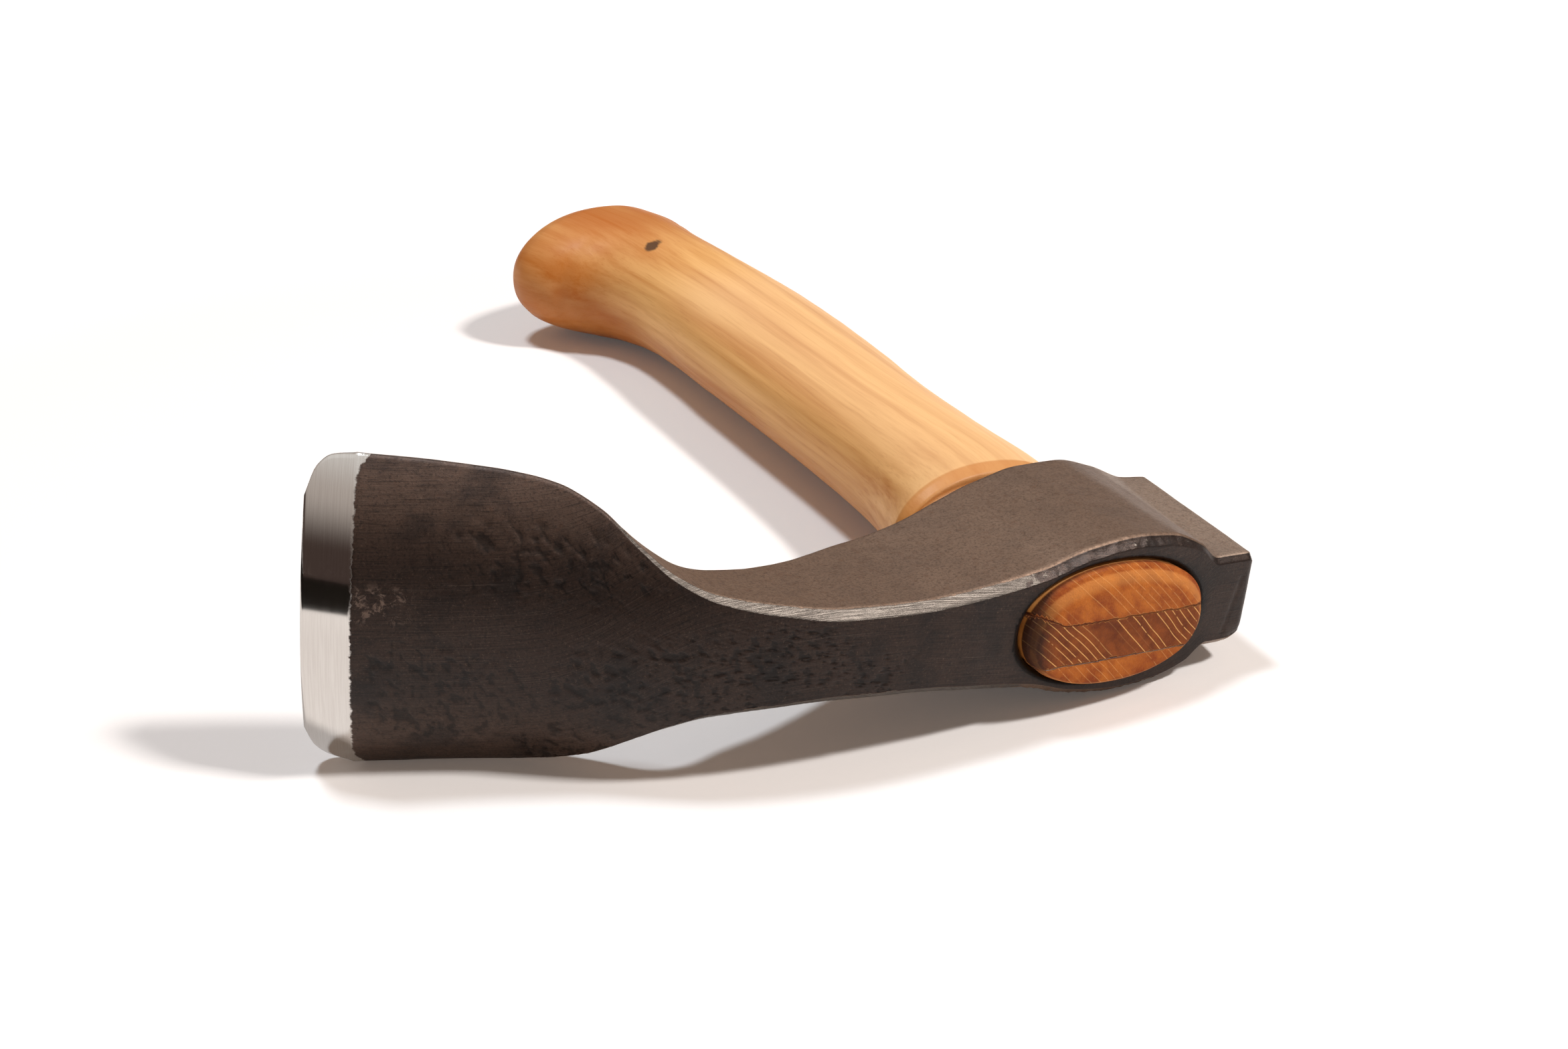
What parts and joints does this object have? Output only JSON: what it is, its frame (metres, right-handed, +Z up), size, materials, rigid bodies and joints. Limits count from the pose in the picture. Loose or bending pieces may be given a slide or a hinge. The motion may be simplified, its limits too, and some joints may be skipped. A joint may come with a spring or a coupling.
{
  "type": "short-handled hand adze",
  "caption": "Hand adze: forged head with a hollow curved blade, outside bevel and square poll, wedged on a short swelled wooden handle.",
  "frame": {"origin": "centre of the footprint, on the surface that the tool lies on", "axes": "+Z up from the surface, +X along the head toward the poll, +Y along the handle toward the grip's end"},
  "size_m": [0.1786, 0.2664, 0.0585],
  "materials": {
    "forged_steel": "dark forge skin, brushed along the head, with ground and polished bevel and filed chamfers",
    "handle_wood": "oiled light hardwood, straight grain along the handle",
    "wedge_wood": "oiled hardwood, darker than the handle, end grain showing"
  },
  "bodies": {
    "root": {"adze_head": "forged_steel", "handle": "handle_wood", "wedge": "wedge_wood"}
  },
  "joints": []
}
